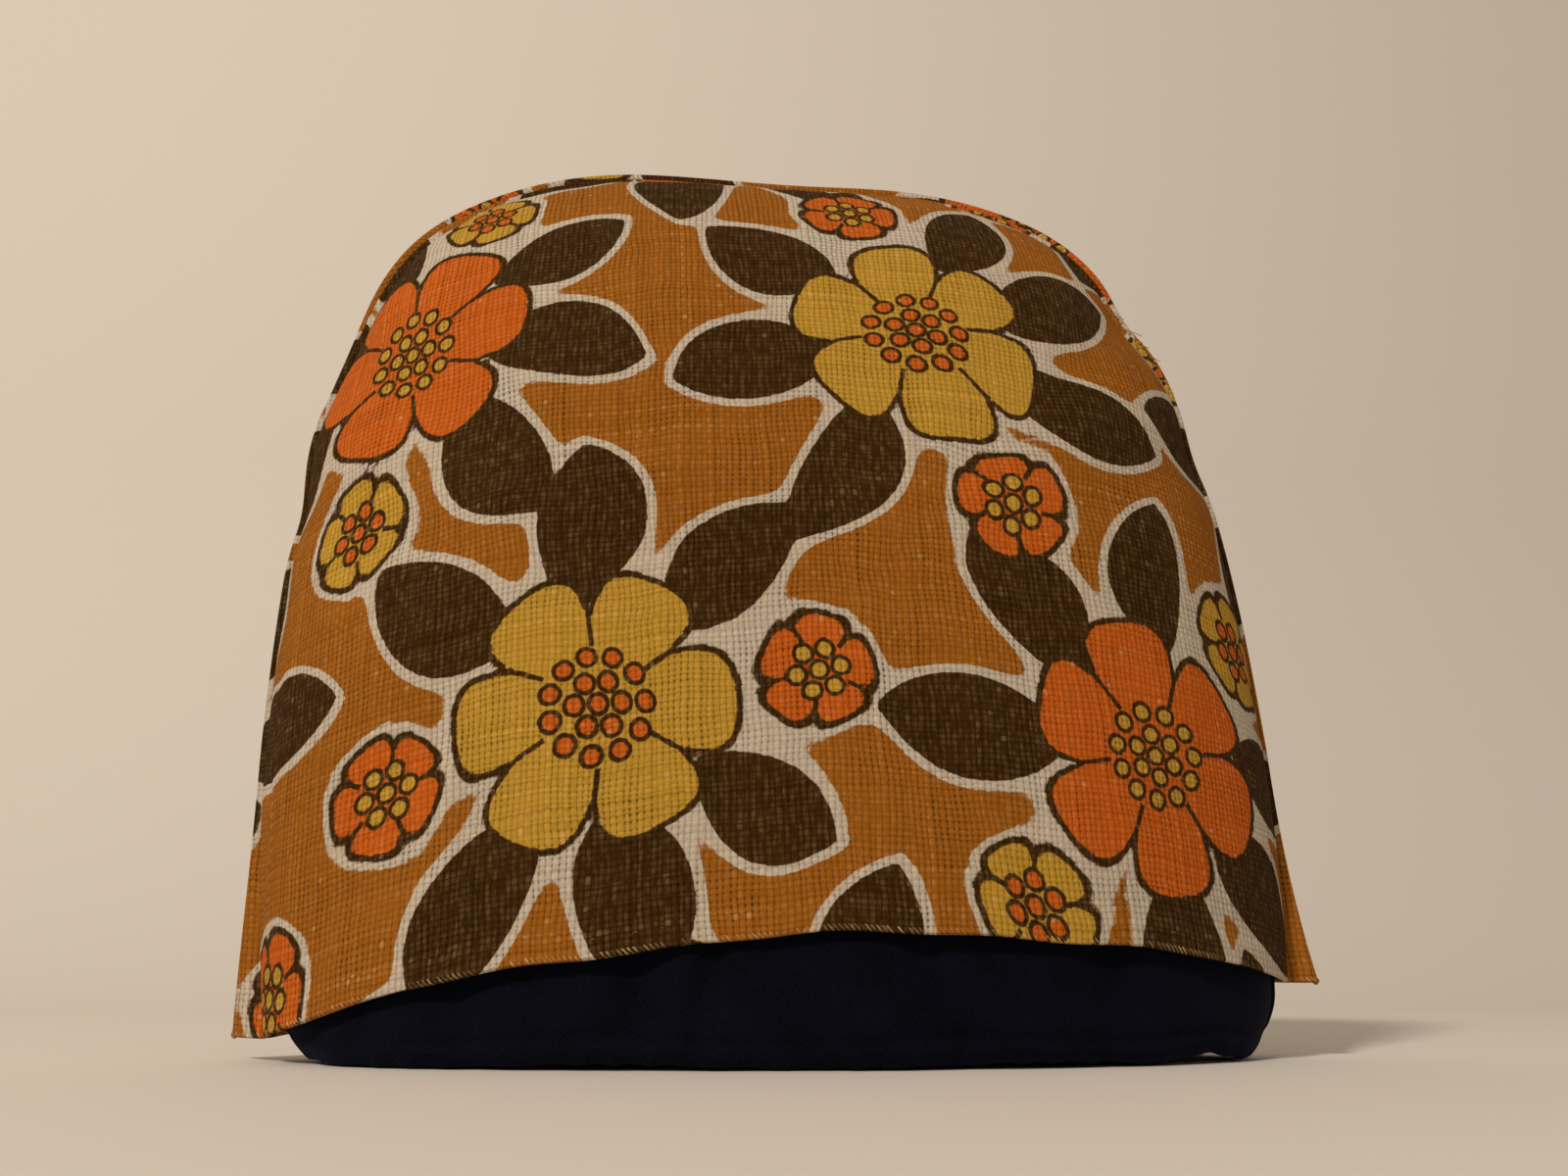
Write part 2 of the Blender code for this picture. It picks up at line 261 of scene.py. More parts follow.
def liner_pad(name, side, crown, folds):
    """One pad: a grid with two layers, the outer face and the inner one, side -1 for the front."""
    pad = add_grid(name, 2 * (LINER_COLUMNS + RIM_RINGS), LINER_ROWS + RIM_RINGS)
    bpy.ops.object.mode_set(mode="EDIT")
    bpy.ops.mesh.extrude_region_move(TRANSFORM_OT_translate={"value": (0.0, 0.0, 1.0)})
    bpy.ops.object.mode_set(mode="OBJECT")
    u, v, layer = read_points(pad)
    column = np.rint(u * (LINER_COLUMNS + RIM_RINGS))
    row = np.rint((v + 1.0) / 2 * (LINER_ROWS + RIM_RINGS))
    ring = np.maximum(np.abs(column) - LINER_COLUMNS, row - LINER_ROWS).clip(0.0)
    across, up = d_shape(
        spaced(-side * column / (LINER_COLUMNS + ring)), eased(row / (LINER_ROWS + ring))
    )
    z = (FORM_HEIGHT - SEAM_INSET) * up
    x = (form_half_width(z) - SEAM_INSET) * across
    out_x, out_z = seam_normal(across, up)

    # Round the seam, the outer face rolls in over the rim to the other pad.
    rim_angle = RIM_ROLL * ring / RIM_RINGS
    outer = np.hypot(TOUCH_GAP / 2 + PAD_RIM, standoff(x, z, crown, SEAM_INSET, CROWN_INSET))
    inner = standoff(x, z, crown, SEAM_INSET + PAD, CROWN_INSET + PAD)
    outer = np.where(ring > 0.0, TOUCH_GAP / 2 + PAD_RIM * np.cos(rim_angle), outer)
    inner = np.where(ring > 0.0, TOUCH_GAP / 2, np.maximum(TOUCH_GAP / 2, inner))
    # Soft folds and waves, which only go inwards, because the cover lies close outside. The side
    # in their sines makes the two pads differ.
    plump = np.clip(outer / crown, 0.0, 1.0)
    waves = np.sin(x / WAVE_WIDTH + 1.3 * np.sin(x / WAVE_SWAY) + 4.0 * side) * fading(z, WAVE_REACH)
    waves = waves + WIDE_WAVE * np.sin(x / WIDE_WAVE_WIDTH + z / WIDE_WAVE_HEIGHT + 2.0 * side)
    hem_line = HEM_LINE + LINE_WAVER * np.sin(x / LINE_WAVER_WIDTH + side)
    stitched = HEM_LINE_DEPTH * np.exp(-(((z - hem_line) / HEM_LINE_WIDTH) ** 2))
    bumps = 0.5 + 0.5 * np.sin(x / BUMP_WIDTH + 2.2 * np.sin(x / BUMP_SWAY + side))
    stitched = stitched * (0.75 + 0.25 * bumps) + BUMP_DEPTH * (1.0 - bumps) * fading(z, 2 * HEM_LINE)
    outer = outer - (WAVE_DEPTH * (WAVE_LEVEL + waves) + creased(x, z, folds)) * plump - stitched
    inner_waves = 1.0 + np.sin(x / INNER_WAVE_WIDTH + z / INNER_WAVE_HEIGHT)
    inner = inner - INNER_WAVE * inner_waves * plump
    # The lower edge is a soft roll: both layers come to the middle of the pad there.
    roll = np.sqrt(1.0 - np.clip(1.0 - z / PAD_ROUNDING, 0.0, 0.995) ** 2)
    middle, half = (outer + inner) / 2, (outer - inner) / 2
    stand = np.where(layer > 0.5, middle + half * roll, middle - half * roll)
    lifted = LIFT * (1.0 + np.sin(x / LIFT_WIDTH + 1.9 * side)) * fading(z, LIFT_REACH)
    lifted = lifted + BUMP_LIFT * (1.0 - bumps) * fading(z, BUMP_REACH)
    toe_arch = TOE_ARCH * np.exp(-(((x - TOE_ARCH_PLACE) / TOE_ARCH_WIDTH) ** 2))
    lifted = lifted + toe_arch * fading(z, TOE_ARCH_HEIGHT)

    write_cloth_map(pad, *flat_place(x, z, crown, SEAM_INSET, CROWN_INSET, np.zeros_like(z)))
    rim_reach = PAD_SEAM_EDGE * np.sin(rim_angle)
    x, z = x + out_x * rim_reach, z + out_z * rim_reach
    write_points(pad, *slouched(tucked(x, z, TUCK), side * stand, z + lifted))
    pad.data.shade_smooth()
    return pad


liner_front = liner_pad("navy_liner_front", -1.0, FRONT_CROWN, FRONT_LINER_FOLDS)
liner_back = liner_pad("navy_liner_back", 1.0, BACK_CROWN, BACK_LINER_FOLDS)
# The form is drawn about its own middle, and then moved to where the solids stand.
x, y, z = read_points(liner_front)
low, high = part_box("liner_front")
form_shift = ((low.x + high.x - x.min() - x.max()) / 2, (low.y + high.y - y.min() - y.max()) / 2)
for pad in (liner_front, liner_back):
    x, y, z = read_points(pad)
    write_points(pad, x + form_shift[0], y + form_shift[1], z)


def linear(hex_colour):
    """An sRGB hex colour as linear red, green and blue, with an alpha of 1."""
    channels = [int(hex_colour[place : place + 2], 16) / 255 for place in (0, 2, 4)]
    return [c / 12.92 if c <= 0.04045 else ((c + 0.055) / 1.055) ** 2.4 for c in channels] + [1.0]


def add_node(material, kind, links=None, **settings):
    """Adds a node with its settings, and links or sets its inputs. Returns its outputs."""
    node = material.node_tree.nodes.new("ShaderNode" + kind)
    for name, value in settings.items():
        setattr(node, name, value)
    for socket, value in (links or {}).items():
        if isinstance(value, bpy.types.NodeSocket):
            material.node_tree.links.new(value, node.inputs[socket])
        else:
            node.inputs[socket].default_value = value
    return node.outputs


def new_material(name):
    material = bpy.data.materials.new(name)
    material.use_nodes = True
    return material, material.node_tree.nodes["Principled BSDF"].inputs


# Plain-woven navy cotton, washed: a matt, nearly black blue with a soft bloom of fibre ends. Its
# threads are 0.4 mm apart, too fine to show, so they are drawn at 0.8 mm.
COTTON_THREAD_MM = 0.8
cotton, navy = new_material("navy_cotton")
cotton_map = add_node(cotton, "UVMap", uv_map="cloth")["UV"]
per_mm = (math.pi / COTTON_THREAD_MM,) * 3
cotton_angles = add_node(cotton, "VectorMath", {0: cotton_map, 1: per_mm}, operation="MULTIPLY")[0]
cotton_xy = add_node(cotton, "SeparateXYZ", {0: cotton_angles})
cotton_warp, cotton_weft = (
    add_node(cotton, "Math", {0: cotton_xy[axis]}, operation="SINE")[0] for axis in (0, 1)
)
cotton_weave = add_node(cotton, "Math", {0: cotton_warp, 1: cotton_weft}, operation="MULTIPLY")[0]
lint = add_node(cotton, "TexNoise", {"Vector": cotton_map, "Scale": 0.9, "Detail": 6.0})["Fac"]
bloom = add_node(cotton, "TexNoise", {"Vector": cotton_map, "Scale": 0.06, "Detail": 3.0})["Fac"]
fibre = add_node(cotton, "Math", {0: lint, 1: bloom}, operation="MULTIPLY")[0]
fibre = add_node(cotton, "MapRange", {"Value": fibre, "From Min": 0.12, "From Max": 0.42})[0]
navy_mix = {0: fibre, 6: linear("03040a"), 7: linear("090b1b")}
navy_colour = add_node(cotton, "Mix", navy_mix, data_type="RGBA")[2]
height = add_node(cotton, "Math", {0: lint, 1: 0.9, 2: cotton_weave}, operation="MULTIPLY_ADD")[0]
relief = add_node(cotton, "Bump", {"Height": height, "Strength": 0.35, "Distance": 0.00025})[0]
cotton.node_tree.links.new(navy_colour, navy["Base Color"])
cotton.node_tree.links.new(relief, navy["Normal"])
navy["Roughness"].default_value = 0.92
navy["Specular IOR Level"].default_value = 0.07
navy["Sheen Weight"].default_value = 0.03
navy["Sheen Roughness"].default_value = 0.5
navy["Sheen Tint"].default_value = linear("8a93c8")

for pad, node in ((liner_front, "liner_front"), (liner_back, "liner_back")):
    pad.data.materials.append(cotton)
    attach(pad, "root")
    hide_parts(node)

# ---- The print ---------------------------------------------------------------------------------
# The linen is screen printed before it is cut: open flowers with dotted hearts, buds and dark
# leaves, each in a cream margin, scattered on ochre. One spray repeats in a slanting lattice.

SPRAY_ACROSS, SPRAY_UP = (150.0, -10.0), (-56.0, 121.0)
FIRST_SPRAY = (-50.0, 60.0)
TURN_ACROSS, TURN_UP = 37.0, 64.0
FLOWER_RADIUS, BUD_RADIUS = 36.0, 15.0
FLOWER_PETALS, BUD_PETALS = 6, 5
BUD_SLOTS = ((6.0, 57.5), (191.0, 57.5))
BUD_ROOM = 1.4 * BUD_RADIUS
# Leaves round a flower: angle, distance of the leaf's middle, half its length, half its width, bend.
LEAF_SLOTS = (
    (46.0, 53.0, 25.0, 13.5, 0.006),
    (90.0, 50.0, 24.0, 14.5, -0.006),
    (142.0, 53.0, 26.0, 13.5, 0.005),
    (236.0, 53.0, 26.0, 14.0, -0.005),
    (284.0, 50.0, 24.0, 14.0, 0.006),
    (326.0, 51.0, 22.0, 12.0, -0.005),
)
FLOWER_HEART, BUD_HEART = 15.5, 8.5
# A petal, in shares of its flower's radius: its middle, half its length, and its measure's scale.
PETAL_MIDDLE, PETAL_HALF_LENGTH, PETAL_SCALE = 0.62, 0.38, 0.27
PETAL_WIDTH, PETAL_WIDENING, PETAL_LEAST_WIDTH, PETAL_ROUNDING = 0.90, 0.30, 0.008, 1.35
BEND_MM, RIPPLE_MM = 1.3, 0.7
MARGIN_SOFTNESS = 2.5
FAR_OFF = 1e3


def hand_drawn(across, up):
    """Bends the drawing a little, so that no two flowers are quite the same."""
    bent_across = across + BEND_MM * np.sin(up / 13.0 + 0.7)
    bent_across = bent_across + RIPPLE_MM * np.sin(across / 9.0 + up / 15.0)
    bent_up = up + BEND_MM * np.sin(across / 14.0 + 2.1)
    bent_up = bent_up + RIPPLE_MM * np.sin(up / 8.5 - across / 17.0)
    return bent_across, bent_up


def leaf_distance(x, y, half_length, half_width):
    """Distance to a leaf that lies along x, pointed at both ends: two arcs that meet."""
    x, y = np.abs(x), np.abs(y)
    radius = (half_length**2 + half_width**2) / (2 * half_width)
    beyond_tip = (x - half_length) * (radius - half_width) > y * half_length
    return np.where(
        beyond_tip, np.hypot(x - half_length, y), np.hypot(y + radius - half_width, x) - radius
    )


def petal_distance(x, y, radius, petals):
    """Distance to the nearest petal: a rounded blade that widens outwards."""
    half_angle = math.pi / petals
    angle = (np.arctan2(y, x) + half_angle) % (2 * half_angle) - half_angle
    away = np.hypot(x, y)
    along = (away * np.cos(angle) / radius - PETAL_MIDDLE) / PETAL_HALF_LENGTH
    half_width = PETAL_WIDTH * math.tan(half_angle) * PETAL_MIDDLE * (1.0 + PETAL_WIDENING * along)
    aside = away * np.sin(angle) / radius / np.maximum(half_width, PETAL_LEAST_WIDTH)
    from_middle = np.hypot(np.abs(along) ** PETAL_ROUNDING, np.abs(aside) ** PETAL_ROUNDING)
    return (from_middle ** (1.0 / PETAL_ROUNDING) - 1.0) * PETAL_SCALE * radius


def flower_heads():
    """Every flower and bud of the repeat that can reach the cloth: its place, radius, petals, turn
    and tint, 0 for yellow and 1 for orange. A bud that would lie over another head is left out."""
    heads = []
    for i in range(-2, 4):
        for j in range(-1, 4):
            x = FIRST_SPRAY[0] + i * SPRAY_ACROSS[0] + j * SPRAY_UP[0]
            y = FIRST_SPRAY[1] + i * SPRAY_ACROSS[1] + j * SPRAY_UP[1]
            turn = TURN_ACROSS * i + TURN_UP * j
            heads.append((x, y, FLOWER_RADIUS, FLOWER_PETALS, turn, (i + j) % 2))
    for x, y, _, _, turn, tint in list(heads):
        for angle, distance in BUD_SLOTS:
            aim = math.radians(angle + turn)
            bud_x, bud_y = x + distance * math.cos(aim), y + distance * math.sin(aim)
            room = min(math.hypot(bud_x - other[0], bud_y - other[1]) - other[2] for other in heads)
            if room > BUD_ROOM:
                heads.append((bud_x, bud_y, BUD_RADIUS, BUD_PETALS, 2 * turn + angle, 1 - tint))
    return heads


def write_print(piece, across, up):
    """Stores the drawing on the cloth's points: distances to its shapes, and each flower's own
    coordinates, from which the material draws what is finer than the mesh."""
    across, up = hand_drawn(across, up)
    leaf, petal, heart = (np.full(across.shape, FAR_OFF) for _ in range(3))
    crowd = np.zeros(across.shape)
    flower, bloom = np.zeros((2, len(across), 3))
    for head_x, head_y, radius, petals, turn, tint in flower_heads():
        x, y = across - head_x, up - head_y
        is_flower = radius == FLOWER_RADIUS
        for angle, distance, half_length, half_width, bend in LEAF_SLOTS if is_flower else ():
            along, aside = turned(x, y, angle + turn)
            along = along - distance
            aside = aside + bend * along**2
            distance_to_leaf = leaf_distance(along, aside, half_length, half_width)
            leaf = np.minimum(leaf, distance_to_leaf)
            crowd = crowd + np.exp(-distance_to_leaf / MARGIN_SOFTNESS)
        own_x, own_y = turned(x, y, turn)
        heart = np.minimum(heart, np.hypot(x, y) - (FLOWER_HEART if is_flower else BUD_HEART))
        distance_to_petal = petal_distance(own_x, own_y, radius, petals)
        crowd = crowd + np.exp(-distance_to_petal / MARGIN_SOFTNESS)
        near = distance_to_petal < petal
        petal = np.where(near, distance_to_petal, petal)
        flower[near] = np.stack([own_x, own_y, 0.0 * own_x], axis=1)[near]
        bloom[near] = (math.pi / petals, float(is_flower), tint)
    # The margins of shapes that lie close run together, with no scrap of ochre between them.
    margin = -MARGIN_SOFTNESS * np.log(crowd)
    for name, values in (("leaf", leaf), ("petal", petal), ("heart", heart), ("margin", margin)):
        piece.data.attributes.new(name, "FLOAT", "POINT").data.foreach_set("value", values)
    for name, values in (("flower", flower), ("bloom", bloom)):
        attribute = piece.data.attributes.new(name, "FLOAT_VECTOR", "POINT")
        attribute.data.foreach_set("vector", values.ravel())


# ---- The cover ---------------------------------------------------------------------------------
# Two D-shaped panels of coarse linen, seamed round their curve and turned right side out, so that
# each rolls in to the seam. The seam stands out as a flat ear at each hem corner. The hem is the
# cloth turned up once inside.

LINEN = 0.0007
FOLD_RADIUS = 0.0008
HEM_DEPTH, SEAM_ALLOWANCE = 0.006, 0.004
HEM_RIDGE, HEM_RIDGE_STEP = 0.0005, 0.0005
SEAM_EDGE, EAR = 0.0022, 0.0115
RIDGE_FROM, RIDGE_HEIGHT, SIDE_SHARE = 0.170, 0.080, 0.40
LEFT_EAR_GAPE, GAPE_HEIGHT = 0.0022, 0.035
TURNED_IN = 0.0006
HEM_AT_LEFT, HEM_AT_RIGHT = 0.0065, 0.0205
HEM_WAVER, HEM_WAVES, HEM_RIPPLE, HEM_RIPPLES = 0.0006, 9.0, 0.6, 23.0
FRONT_HEM_ARCH, BACK_HEM_ARCH = 0.018, 0.012
FRONT_SEAM_RISE, BACK_SEAM_RISE = -0.0006, 0.0028
STRIP_RINGS, FOLD_RINGS, HEM_ROWS = 6, 6, 3
FRONT_GRID, BACK_GRID = (115, 150), (100, 130)
FLAT_STAND = TOUCH_GAP / 2 + 2 * FOLD_RADIUS
SLOPE_STEP = 0.0003
# Where on the printed cloth each panel is cut, in mm.
FRONT_CUT, BACK_CUT = (0.0, 0.0), (88.0, 46.0)
PUCKERS, PUCKER_DEPTH, PUCKER_REACH, SEAM_HOLD = 52.0, 0.0006, 0.013, 0.004
PUCKER_DRIFT, PUCKER_DRIFTS, PUCKER_LEVEL, PUCKER_SWELL, PUCKER_SWELLS = 1.7, 5.0, 0.6, 0.4, 9.0
# Soft creases: place across and up, the way they run in degrees, half length, half width, depth.
FRONT_CREASES = (
    (-0.104, 0.060, 62.0, 0.045, 0.008, 0.0012),
    (-0.118, 0.030, 35.0, 0.030, 0.006, 0.0010),
    (0.112, 0.058, 118.0, 0.040, 0.008, 0.0010),
    (0.020, 0.150, 80.0, 0.070, 0.014, 0.0008),
    (-0.052, 0.195, 98.0, 0.040, 0.010, 0.0007),
    (0.078, 0.214, 60.0, 0.035, 0.009, 0.0008),
    (0.060, 0.045, 96.0, 0.030, 0.009, 0.0009),
    (-0.020, 0.050, 84.0, 0.030, 0.010, 0.0008),
)
BACK_CREASES = (
    (-0.095, 0.070, 110.0, 0.050, 0.009, 0.0012),
    (0.100, 0.065, 66.0, 0.045, 0.009, 0.0012),
    (0.010, 0.120, 92.0, 0.080, 0.012, 0.0010),
    (-0.060, 0.200, 70.0, 0.040, 0.010, 0.0008),
)


def cover_hem(across, arch):
    """Height of the hem above the table: a slope from corner to corner, arched over the crown."""
    slope = (HEM_AT_RIGHT + HEM_AT_LEFT) / 2 + (HEM_AT_RIGHT - HEM_AT_LEFT) / 2 * across
    waves = np.sin(HEM_WAVES * across + 1.0) + HEM_RIPPLE * np.sin(HEM_RIPPLES * across)
    return slope + arch * (1.0 - across * across) + HEM_WAVER * waves * (1.0 - across**4)


def rolled(distance):
    """How far cloth that turns in over a fold goes outwards and inwards, from the fold's start."""
    angle = np.clip(distance / FOLD_RADIUS, 0.0, math.pi)
    past = np.clip(distance - math.pi * FOLD_RADIUS, 0.0, None)
    return FOLD_RADIUS * np.sin(angle) - past, FOLD_RADIUS * (1.0 - np.cos(angle))


def cover_panel(name, side, crown, arch, seam_rise, cut, creases, columns, rows):
    """One panel: a grid with rows added below to turn up, and rings added round it for the seam."""
    rings = STRIP_RINGS + FOLD_RINGS + 1
    below = FOLD_RINGS + HEM_ROWS
    panel = add_grid(name, 2 * (columns + rings), below + rows + rings)
    u, v, _ = read_points(panel)
    column = np.rint(u * (columns + rings))
    row = np.rint((v + 1.0) / 2 * (below + rows + rings)) - below
    ring = np.maximum(np.abs(column) - columns, row - rows).clip(0.0)
    across, up = d_shape(
        spaced(-side * column / (columns + ring)), eased(np.clip(row, 0.0, None) / (rows + ring))
    )
    hem = cover_hem(across, arch)
    z = FORM_HEIGHT * up + hem * (1.0 - up) ** 2

    # The flat edge along the seam, then the roll in to the seam, and the roll under at the hem.
    roll_length = math.pi * FOLD_RADIUS
    seam_lengths = (0.0, roll_length, roll_length + SEAM_ALLOWANCE)
    seam_turn = np.interp(ring - STRIP_RINGS, (0, FOLD_RINGS, FOLD_RINGS + 1), seam_lengths)
    hem_lengths = (0.0, roll_length, roll_length + HEM_DEPTH)
    hem_turn = np.interp(-row, (0, FOLD_RINGS, below), hem_lengths)
    seam_out, seam_in = rolled(seam_turn)
    hem_out, hem_in = rolled(hem_turn)
    turned_up = np.clip(-hem_out, 0.0, None)
    x = form_half_width(z + turned_up) * across
    # Over the top the seam stands up as a ridge. At the sides it is pulled nearly flat.
    ridge = np.clip((z - RIDGE_FROM) / RIDGE_HEIGHT, 0.0, 1.0)
    ridge = ridge * ridge * (3.0 - 2.0 * ridge)
    strip = SEAM_EDGE * (SIDE_SHARE + (1.0 - SIDE_SHARE) * ridge) + seam_rise * ridge
    strip = strip + EAR * fading(z + turned_up, EAR_HEIGHT) - TURNED_IN * (turned_up > 0.0)
    strip = strip * np.clip(ring / STRIP_RINGS, 0.0, 1.0)

    # Beside the left ear, the two panels gape a little.
    gape = LEFT_EAR_GAPE * fading(z, GAPE_HEIGHT) * np.clip(1.0 - ring / STRIP_RINGS, 0.0, 1.0)
    gape = np.where(x < 0.0, gape, 0.0)

    def stand_at(x):
        return np.hypot(FLAT_STAND + gape, standoff(x, z, crown, 0.0, 0.0))

    # Puckers, unevenly spaced and deep, run in from the seam and fade out.
    outline = np.maximum(squared_length(across, up), 1e-6)
    to_seam = (1.0 - outline) * np.hypot(across * BELLY_HALF_WIDTH, up * FORM_HEIGHT) / outline
    round_seam = np.arctan2(up, across)
    drift = PUCKER_DRIFT * np.sin(PUCKER_DRIFTS * round_seam)
    pucker = np.sin(PUCKERS * round_seam + drift + side)
    swell = PUCKER_LEVEL + PUCKER_SWELL * np.sin(PUCKER_SWELLS * round_seam + 1.0)
    pucker = pucker * swell * np.exp(-to_seam / PUCKER_REACH)
    inside = np.clip(to_seam / SEAM_HOLD, 0.0, 1.0)
    dent = creased(x, z, creases) - PUCKER_DEPTH * pucker
    # Two layers of cloth make the turned-up hem stand proud, up to the cut edge inside it.
    hem_ridge = HEM_RIDGE / (1.0 + np.exp((z - hem - HEM_DEPTH) / HEM_RIDGE_STEP))
    on_form = stand_at(x) + (hem_ridge - dent) * inside
    slope = (stand_at(x + SLOPE_STEP) - stand_at(x - SLOPE_STEP)) / (2 * SLOPE_STEP)
    steepness = np.hypot(1.0, slope)
    on_edge = ring > 0.0
    stand = np.where(
        on_edge, FLAT_STAND + gape - np.maximum(seam_in, hem_in), on_form - hem_in / steepness
    )

    flat_x, flat_z = flat_place(x, z, crown, 0.0, 0.0, hem)
    out_x, out_z = seam_normal(across, up)
    flat_x = -side * (flat_x + 1000.0 * out_x * (strip + seam_turn))
    flat_z = flat_z + 1000.0 * (out_z * (strip + seam_turn) - hem_turn)
    write_cloth_map(panel, flat_x, flat_z)
    write_print(panel, flat_x + cut[0], flat_z + cut[1])

    x = x + out_x * (strip + seam_out) + np.where(on_edge, 0.0, hem_in * slope / steepness)
    z = z + out_z * (strip + seam_out) - hem_out
    x, y, z = slouched(x, side * stand, z)
    write_points(panel, x + form_shift[0], y + form_shift[1], z)

    printed_points = len(panel.data.vertices)
    thickness = panel.modifiers.new("linen", "SOLIDIFY")
    thickness.thickness = LINEN
    thickness.offset = -1.0
    apply_modifiers(panel)
    wrong_side = np.zeros(len(panel.data.vertices))
    wrong_side[printed_points:] = 1.0
    panel.data.attributes.new("wrong_side", "FLOAT", "POINT").data.foreach_set("value", wrong_side)
    panel.data.shade_smooth()
    return panel


front_form = (FRONT_CROWN, FRONT_HEM_ARCH, FRONT_SEAM_RISE, FRONT_CUT, FRONT_CREASES)
back_form = (BACK_CROWN, BACK_HEM_ARCH, BACK_SEAM_RISE, BACK_CUT, BACK_CREASES)
cover_front = cover_panel("linen_cover_front", -1.0, *front_form, *FRONT_GRID)
cover_back = cover_panel("linen_cover_back", 1.0, *back_form, *BACK_GRID)

# Coarse plain-woven linen, screen printed with pigment: slubby threads 1.6 mm apart, with
# pinholes where the weave is open, painted dark as shade. The ink is worn thin on the thickest
# threads. Matt throughout.
THREAD_MM, MEANDER_MM = 1.635, 3.2
SLUB_STRETCH, SLUB_SHIFT = 0.022, 1.05
WARP_TUFT_POWER, WEFT_TUFT_POWER, WEFT_TUFT_HEIGHT = 0.45, 0.60, 0.85
OPEN_LEAST, OPEN_MOST = 0.18, 0.85
cloth, linen = new_material("printed_linen")
cloth_map = add_node(cloth, "UVMap", uv_map="cloth")["UV"]
cloth_xy = add_node(cloth, "SeparateXYZ", {0: cloth_map})
meander = add_node(cloth, "TexNoise", {"Vector": cloth_map, "Scale": 0.045, "Detail": 2.0})["Color"]
meander = add_node(cloth, "VectorMath", {0: meander, 1: (0.5, 0.5, 0.5)}, operation="SUBTRACT")[0]
meander_size = (MEANDER_MM, MEANDER_MM, 0.0)
threads = add_node(
    cloth, "VectorMath", {0: meander, 1: meander_size, 2: cloth_map}, operation="MULTIPLY_ADD"
)[0]
threads_per_mm = (1 / THREAD_MM, 1 / THREAD_MM, 0.0)
threads = add_node(cloth, "VectorMath", {0: threads, 1: threads_per_mm}, operation="MULTIPLY")[0]
thread_xy = add_node(cloth, "SeparateXYZ", {0: threads})

# Slubs: each thread thickens and thins along its length, and its neighbours give way to it.
ridges, slubs, signs, places = [], [], [], []
for axis, run in ((0, (1.0, SLUB_STRETCH, 0.0)), (1, (SLUB_STRETCH, 1.0, 0.0))):
    along = add_node(cloth, "VectorMath", {0: threads, 1: run}, operation="MULTIPLY")[0]
    slub = add_node(cloth, "TexNoise", {"Vector": along, "Scale": 0.90, "Detail": 3.0})["Fac"]
    place = add_node(
        cloth, "Math", {0: slub, 1: SLUB_SHIFT, 2: thread_xy[axis]}, operation="MULTIPLY_ADD"
    )[0]
    sign = add_node(cloth, "Math", {0: place, 1: math.pi}, operation="MULTIPLY")[0]
    sign = add_node(cloth, "Math", {0: sign}, operation="SINE")[0]
    ridges.append(add_node(cloth, "Math", {0: sign}, operation="ABSOLUTE")[0])
    slubs.append(slub)
    signs.append(sign)
    places.append(place)
warp, weft = ridges
over = add_node(cloth, "Math", {0: signs[0], 1: signs[1]}, operation="MULTIPLY")[0]
over = add_node(cloth, "Math", {0: over, 1: 1.6, 2: 0.5}, operation="MULTIPLY_ADD", use_clamp=True)[0]
# Where the warp is on top, its tuft is long and narrow. Where the weft is, it is low and wide.
warp_tuft = add_node(cloth, "Math", {0: weft, 1: WARP_TUFT_POWER}, operation="POWER")[0]
warp_tuft = add_node(cloth, "Math", {0: warp_tuft, 1: warp}, operation="MULTIPLY")[0]
weft_tuft = add_node(cloth, "Math", {0: warp, 1: WEFT_TUFT_POWER}, operation="POWER")[0]
for factor in (weft, WEFT_TUFT_HEIGHT):
    weft_tuft = add_node(cloth, "Math", {0: weft_tuft, 1: factor}, operation="MULTIPLY")[0]
tuft = add_node(cloth, "Mix", {0: over, 2: weft_tuft, 3: warp_tuft}, data_type="FLOAT")[0]
slub = add_node(cloth, "Mix", {0: over, 2: slubs[1], 3: slubs[0]}, data_type="FLOAT")[0]
crossing = add_node(cloth, "CombineXYZ", {0: places[0], 1: places[1]})[0]
crossing = add_node(cloth, "VectorMath", {0: crossing}, operation="FLOOR")[0]
chance = add_node(cloth, "TexWhiteNoise", {"Vector": crossing}, noise_dimensions="2D")["Value"]
mottle = add_node(cloth, "TexNoise", {"Vector": cloth_map, "Scale": 1.3, "Detail": 3.0})["Fac"]
openness = add_node(cloth, "TexNoise", {"Vector": cloth_map, "Scale": 0.055, "Detail": 2.0})["Fac"]
open_range = {"From Min": 0.38, "From Max": 0.62, "To Min": OPEN_LEAST, "To Max": OPEN_MOST}
openness = add_node(cloth, "MapRange", {"Value": openness, **open_range})[0]

# The drawing, as distances in mm to its shapes. A bloom's three values are half a petal's angle,
# 1 for a flower or 0 for a bud, and its tint. Edges are uneven: the jag differs at each crossing.
JAG_MM, JAG_MOTTLE_MM, JAG_MIDDLE_MM = 0.26, 0.40, -0.33
jag = add_node(cloth, "Math", {0: chance, 1: JAG_MM, 2: JAG_MIDDLE_MM}, operation="MULTIPLY_ADD")[0]
jag = add_node(cloth, "Math", {0: mottle, 1: JAG_MOTTLE_MM, 2: jag}, operation="MULTIPLY_ADD")[0]
leaf_mm, petal_mm, heart_mm, margin_mm = (
    add_node(cloth, "Attribute", attribute_name=name)["Fac"]
    for name in ("leaf", "petal", "heart", "margin")
)
flower_xy, bloom_values = (
    add_node(cloth, "Attribute", attribute_name=name)["Vector"] for name in ("flower", "bloom")
)
half_petal, is_flower, tint = add_node(cloth, "SeparateXYZ", {0: bloom_values})
flower_axes = add_node(cloth, "SeparateXYZ", {0: flower_xy})
